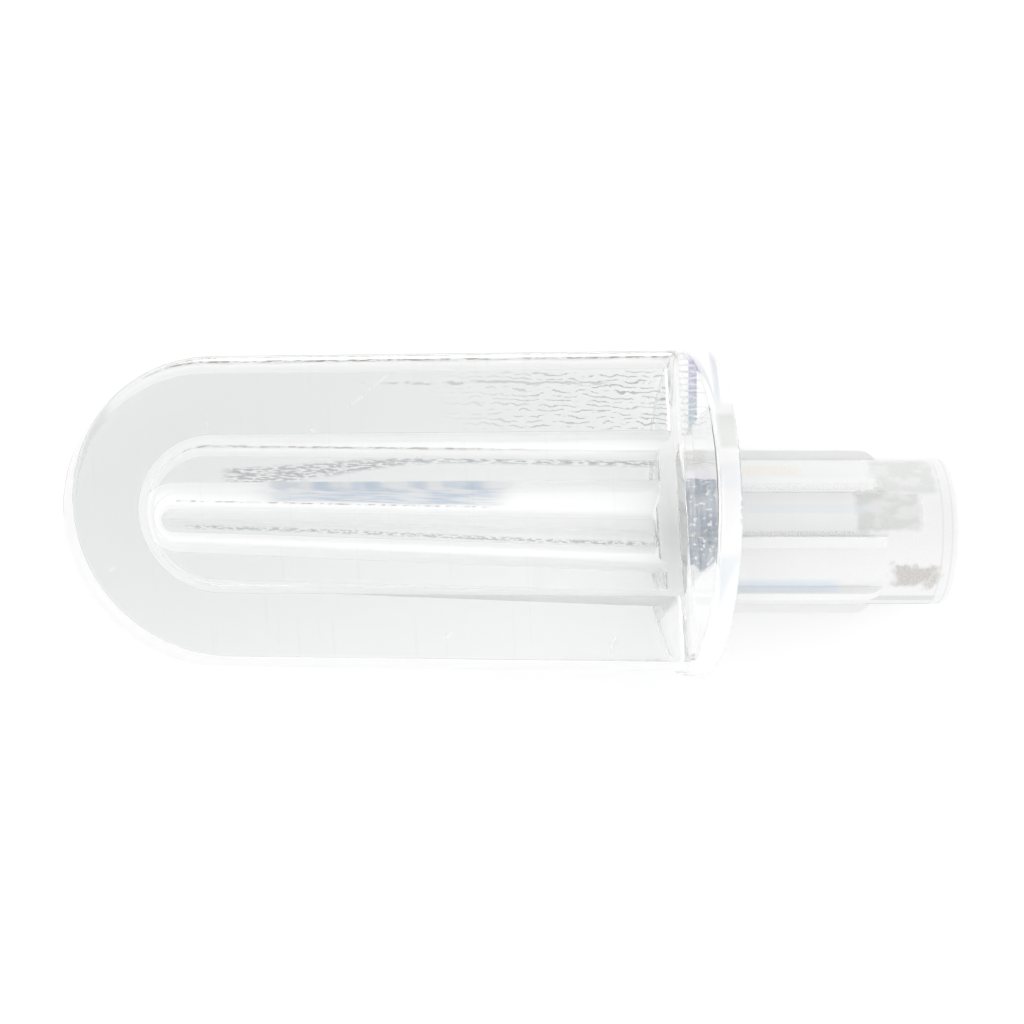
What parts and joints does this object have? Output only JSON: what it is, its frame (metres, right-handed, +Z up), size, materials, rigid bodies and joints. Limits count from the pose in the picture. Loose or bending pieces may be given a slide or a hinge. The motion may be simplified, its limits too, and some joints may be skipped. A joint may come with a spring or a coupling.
{
  "type": "shelf support pin",
  "caption": "Clear plastic shelf support pin: a ribbed push-in peg, a round flange and a flat tongue with a sloping stiffener below, on which a shelf rests.",
  "frame": {"origin": "on the axis of the peg, in the plane of the flange face that seats against the cabinet side", "axes": "+X along the peg into the cabinet side, +Z up towards the shelf, and the tongue reaches out along -X"},
  "size_m": [0.0358, 0.0126, 0.0127],
  "materials": {
    "clear_plastic": "clear and polished, with a faint green-grey tint; the peg is slightly frosted"
  },
  "bodies": {
    "root": {"shelf_pin": "clear_plastic"}
  },
  "joints": []
}
